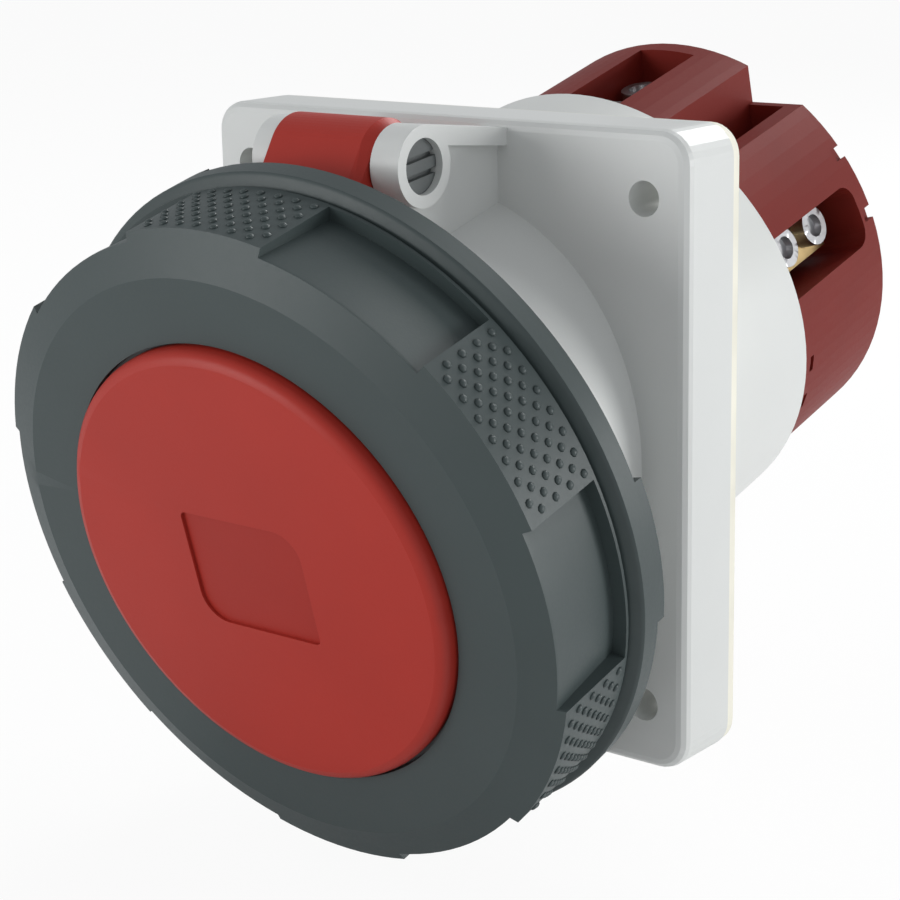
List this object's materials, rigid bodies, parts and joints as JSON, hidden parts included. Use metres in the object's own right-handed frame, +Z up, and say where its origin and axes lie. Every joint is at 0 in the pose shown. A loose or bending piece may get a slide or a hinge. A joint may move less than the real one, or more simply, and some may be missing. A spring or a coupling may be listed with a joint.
{
  "type": "industrial panel socket",
  "caption": "Inclined panel-mount power socket with a round hinged lid, a dark bayonet locking ring, a white flange housing and a rear contact carrier with screw terminals.",
  "frame": {"origin": "centre of the four fixing holes on the panel face, which is the back of the flange seal", "axes": "+Y into the panel, square to the panel face; +Z up; the front of the socket looks to -Y and 15 degrees down"},
  "size_m": [0.1188, 0.153, 0.129],
  "materials": {
    "housing_plastic": "satin moulded",
    "flange_rubber": "matt",
    "pin_steel": "satin",
    "carrier_plastic": "satin moulded",
    "contact_brass": "machined",
    "screw_steel": "zinc plated",
    "seal_rubber": "matt",
    "lid_plastic": "satin moulded",
    "ring_plastic": "satin moulded"
  },
  "bodies": {
    "housing": {"flange_housing": "housing_plastic", "flange_seal": "flange_rubber", "hinge_pin": "pin_steel", "contact_carrier": "carrier_plastic", "contact_insert": "carrier_plastic", "contact_l1": "contact_brass", "contact_l2": "contact_brass", "contact_l3": "contact_brass", "contact_n": "contact_brass", "contact_pe": "contact_brass", "contact_springs": "screw_steel", "terminal_screws": "screw_steel", "terminal_clamps": "screw_steel", "carrier_screws": "screw_steel", "collar_seal": "seal_rubber"},
    "lid": {"lid": "lid_plastic", "lid_seal": "seal_rubber", "ring_keeper": "pin_steel"},
    "ring": {"bayonet_ring": "ring_plastic"}
  },
  "joints": [
    {"name": "lid_hinge", "type": "hinge", "parent": "housing", "child": "lid", "pos_m": [0, -0.03701, 0.04828], "axis": [-1, 0, 0], "range_deg": [0, 110]},
    {"name": "ring_turn", "type": "hinge", "parent": "lid", "child": "ring", "pos_m": [0, -0.0483, -0.01044], "axis": [0, 0.9659, 0.2588], "range_deg": [0, 30]}
  ]
}
